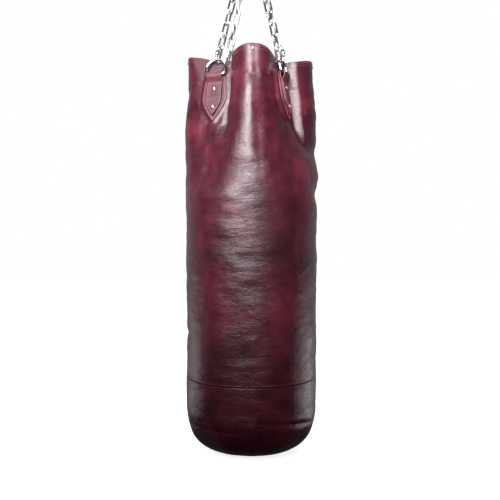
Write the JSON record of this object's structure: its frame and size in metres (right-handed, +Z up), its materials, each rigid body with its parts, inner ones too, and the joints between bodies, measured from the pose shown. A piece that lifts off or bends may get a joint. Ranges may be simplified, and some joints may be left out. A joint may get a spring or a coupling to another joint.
{
  "type": "heavy punching bag",
  "caption": "Leather heavy bag, open at the top, hung by chain legs from D-rings on stitched tabs to a ring, a swivel and a snap hook.",
  "frame": {"origin": "inside top of the snap hook, the point that the bag hangs from", "axes": "+Z up along the bag's axis, -Y towards the front, +X to the right seen from the front"},
  "size_m": [0.3474, 0.3474, 1.5117],
  "materials": {
    "shell_leather": "satin",
    "tab_leather": "satin",
    "suede": "matte",
    "canvas": "matte",
    "rags": "matte",
    "chrome": "polished",
    "zinc": "satin"
  },
  "bodies": {
    "snap_hook": {"snap_hook": "chrome", "gate_pin": "zinc"},
    "snap_gate": {"snap_gate": "chrome"},
    "swivel_top": {"swivel_eye": "chrome", "swivel_nut": "zinc"},
    "swivel_bow": {"swivel_bow": "chrome", "thrust_washer": "zinc"},
    "collector_ring": {"collector_ring": "chrome"},
    "bag": {"shell_upper": "shell_leather", "shell_lower_band": "shell_leather", "base_disc": "shell_leather", "back_seam_strip": "shell_leather", "lining": "canvas", "mouth_band": "suede", "rag_fill": "rags", "fill_cover": "canvas", "rim_rivet_1": "chrome", "rim_rivet_2": "chrome", "rim_rivet_3": "chrome", "rim_rivet_4": "chrome", "rim_rivet_5": "chrome", "rim_rivet_6": "chrome", "rim_rivet_7": "chrome", "rim_rivet_8": "chrome", "tab_backing_1": "tab_leather", "tab_strap_1": "tab_leather", "tab_rivet_1_upper": "chrome", "tab_rivet_1_lower": "chrome", "tab_backing_2": "tab_leather", "tab_strap_2": "tab_leather", "tab_rivet_2_upper": "chrome", "tab_rivet_2_lower": "chrome", "tab_backing_3": "tab_leather", "tab_strap_3": "tab_leather", "tab_rivet_3_upper": "chrome", "tab_rivet_3_lower": "chrome", "tab_backing_4": "tab_leather", "tab_strap_4": "tab_leather", "tab_rivet_4_upper": "chrome", "tab_rivet_4_lower": "chrome"},
    "d_ring_1": {"d_ring_1": "chrome"},
    "chain_leg_1": {"quick_link_1": "chrome", "chain_1": "chrome"},
    "quick_nut_1": {"quick_nut_1": "chrome"},
    "d_ring_2": {"d_ring_2": "chrome"},
    "chain_leg_2": {"quick_link_2": "chrome", "chain_2": "chrome"},
    "quick_nut_2": {"quick_nut_2": "chrome"},
    "d_ring_3": {"d_ring_3": "chrome"},
    "chain_leg_3": {"quick_link_3": "chrome", "chain_3": "chrome"},
    "quick_nut_3": {"quick_nut_3": "chrome"},
    "d_ring_4": {"d_ring_4": "chrome"},
    "chain_leg_4": {"quick_link_4": "chrome", "chain_4": "chrome"},
    "quick_nut_4": {"quick_nut_4": "chrome"}
  },
  "joints": [
    {"name": "hook_swing", "type": "hinge", "parent": "snap_hook", "child": "swivel_top", "pos_m": [0, 0, -0.068], "axis": [1, 0, 0], "range_deg": [-45, 45]},
    {"name": "swivel_spin", "type": "hinge", "parent": "swivel_top", "child": "swivel_bow", "pos_m": [0, 0, -0.14385], "axis": [0, 0, 1], "continuous": true},
    {"name": "ring_swing", "type": "hinge", "parent": "swivel_bow", "child": "collector_ring", "pos_m": [0, 0, -0.14385], "axis": [0, 1, 0], "range_deg": [-45, 45]},
    {"name": "bag_swing", "type": "hinge", "parent": "collector_ring", "child": "bag", "pos_m": [0, 0, -0.1901], "axis": [1, 0, 0], "range_deg": [-18, 18]},
    {"name": "snap_gate_hinge", "type": "hinge", "parent": "snap_hook", "child": "snap_gate", "pos_m": [0.01302, 0, -0.048], "axis": [0, -1, 0], "range_deg": [0, 25], "stiffness_Nm_per_rad": 0.05, "springref_deg": -5.73},
    {"name": "d_ring_1_tilt", "type": "hinge", "parent": "bag", "child": "d_ring_1", "pos_m": [0.08306, -0.09323, -0.55343], "axis": [0.3627, 0.9319, 0], "range_deg": [-1, 1]},
    {"name": "chain_leg_1_twist", "type": "hinge", "parent": "bag", "child": "chain_leg_1", "pos_m": [0.07037, -0.08134, -0.49876], "axis": [-0.2024, 0.2503, 0.9468], "range_deg": [-5, 5]},
    {"name": "quick_nut_1_travel", "type": "slide", "parent": "chain_leg_1", "child": "quick_nut_1", "axis": [-0.2024, 0.2503, 0.9468], "range_m": [0, 0.0078]},
    {"name": "d_ring_2_tilt", "type": "hinge", "parent": "bag", "child": "d_ring_2", "pos_m": [0.09323, 0.08306, -0.55343], "axis": [-0.9319, 0.3627, 0], "range_deg": [-1, 1]},
    {"name": "chain_leg_2_twist", "type": "hinge", "parent": "bag", "child": "chain_leg_2", "pos_m": [0.0826, 0.06987, -0.49848], "axis": [-0.219, -0.2149, 0.9518], "range_deg": [-5, 5]},
    {"name": "quick_nut_2_travel", "type": "slide", "parent": "chain_leg_2", "child": "quick_nut_2", "axis": [-0.219, -0.2149, 0.9518], "range_m": [0, 0.0078]},
    {"name": "d_ring_3_tilt", "type": "hinge", "parent": "bag", "child": "d_ring_3", "pos_m": [-0.08306, 0.09323, -0.55343], "axis": [-0.3627, -0.9319, 0], "range_deg": [-1, 1]},
    {"name": "chain_leg_3_twist", "type": "hinge", "parent": "bag", "child": "chain_leg_3", "pos_m": [-0.07037, 0.08134, -0.49876], "axis": [0.2024, -0.2503, 0.9468], "range_deg": [-5, 5]},
    {"name": "quick_nut_3_travel", "type": "slide", "parent": "chain_leg_3", "child": "quick_nut_3", "axis": [0.2024, -0.2503, 0.9468], "range_m": [0, 0.0078]},
    {"name": "d_ring_4_tilt", "type": "hinge", "parent": "bag", "child": "d_ring_4", "pos_m": [-0.09323, -0.08306, -0.55343], "axis": [0.9319, -0.3627, 0], "range_deg": [-1, 1]},
    {"name": "chain_leg_4_twist", "type": "hinge", "parent": "bag", "child": "chain_leg_4", "pos_m": [-0.0826, -0.06987, -0.49848], "axis": [0.219, 0.2149, 0.9518], "range_deg": [-5, 5]},
    {"name": "quick_nut_4_travel", "type": "slide", "parent": "chain_leg_4", "child": "quick_nut_4", "axis": [0.219, 0.2149, 0.9518], "range_m": [0, 0.0078]}
  ]
}
